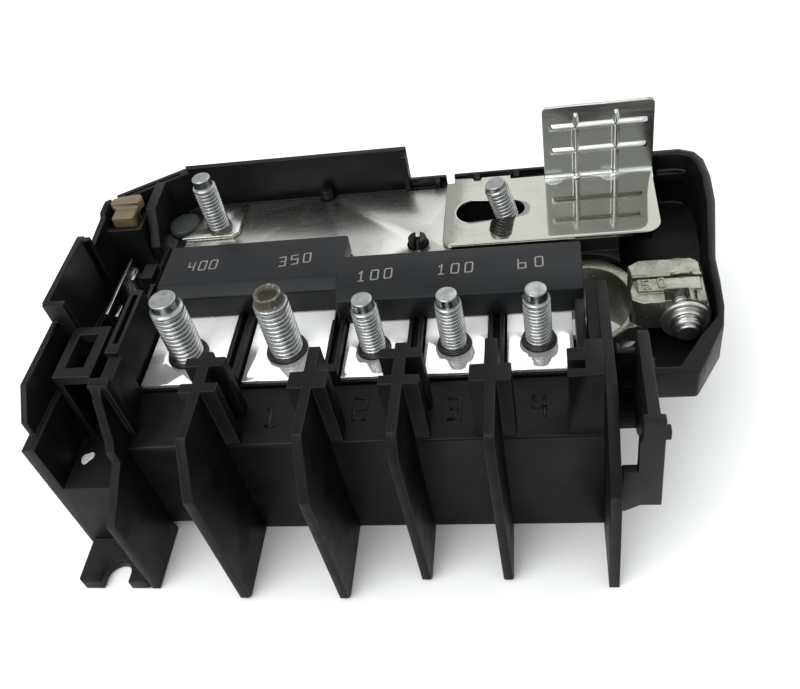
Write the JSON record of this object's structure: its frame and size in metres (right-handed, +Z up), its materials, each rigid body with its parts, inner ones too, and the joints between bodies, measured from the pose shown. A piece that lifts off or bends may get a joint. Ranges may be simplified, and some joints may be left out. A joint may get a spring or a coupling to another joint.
{
  "type": "battery fuse panel",
  "caption": "Battery-top fuse panel: moulded carrier with divided stud outputs, a bolt-down strip fuse, busbar, cable plate with upright ribbed shield, and a post clamp in a hood.",
  "frame": {"origin": "on the battery post clamp's bore axis, at the height of the carrier's feet, which stand on the battery's top", "axes": "+Z up along the battery post and the studs, +Y from the cable outlets towards the busbar, +X along the row of outputs towards the clamp"},
  "size_m": [0.1553, 0.1036, 0.0612],
  "materials": {
    "carrier_plastic": "matte black moulded, glass filled",
    "fuse_moulding": "slate grey moulded",
    "tin_plate": "bright tin plate",
    "cast_clamp": "tin-plated casting",
    "zinc_steel": "zinc plated",
    "collar_steel": "dark phosphate",
    "plug_nylon": "tan nylon"
  },
  "bodies": {
    "panel": {"carrier_tray": "carrier_plastic", "front_skirt": "carrier_plastic", "side_box": "carrier_plastic", "side_frame": "carrier_plastic", "end_bracket": "carrier_plastic", "battery_hood": "carrier_plastic", "fuse_body": "fuse_moulding", "busbar": "tin_plate", "rear_stud_plate": "tin_plate", "rear_stud": "zinc_steel", "rear_disc": "collar_steel", "top_plate": "tin_plate", "clamp_body": "cast_clamp", "side_strip": "tin_plate", "side_contact_1": "tin_plate", "side_contact_2": "tin_plate", "divider_1": "carrier_plastic", "divider_2": "carrier_plastic", "divider_3": "carrier_plastic", "divider_4": "carrier_plastic", "divider_5": "carrier_plastic", "divider_6": "carrier_plastic", "output_tab_1": "tin_plate", "fuse_link_1": "tin_plate", "stud_1": "zinc_steel", "stud_collar_1": "collar_steel", "output_tab_2": "tin_plate", "fuse_link_2": "tin_plate", "stud_2": "zinc_steel", "stud_collar_2": "collar_steel", "output_tab_3": "tin_plate", "fuse_link_3": "tin_plate", "stud_3": "zinc_steel", "stud_collar_3": "collar_steel", "output_tab_4": "tin_plate", "fuse_link_4": "tin_plate", "stud_4": "zinc_steel", "stud_collar_4": "collar_steel", "output_tab_5": "tin_plate", "fuse_link_5": "tin_plate", "stud_5": "zinc_steel", "stud_collar_5": "collar_steel"},
    "slot_stud": {"slot_stud": "zinc_steel"},
    "pinch_bolt": {"clamp_bolt": "zinc_steel"},
    "pinch_nut": {"clamp_nut": "zinc_steel"},
    "plug": {"plug_insert": "plug_nylon"}
  },
  "joints": [
    {"name": "slot_stud_slide", "type": "slide", "parent": "panel", "child": "slot_stud", "axis": [1, 0, 0], "range_m": [-0.007, 0]},
    {"name": "pinch_bolt_spin", "type": "hinge", "parent": "panel", "child": "pinch_bolt", "pos_m": [0.0198, -0.0032, 0.037], "axis": [0, 1, 0], "continuous": true},
    {"name": "pinch_nut_spin", "type": "hinge", "parent": "panel", "child": "pinch_nut", "pos_m": [0.0198, -0.0097, 0.037], "axis": [0, 1, 0], "continuous": true},
    {"name": "plug_pull", "type": "slide", "parent": "panel", "child": "plug", "axis": [0, 0, 1], "range_m": [0, 0.02]}
  ]
}
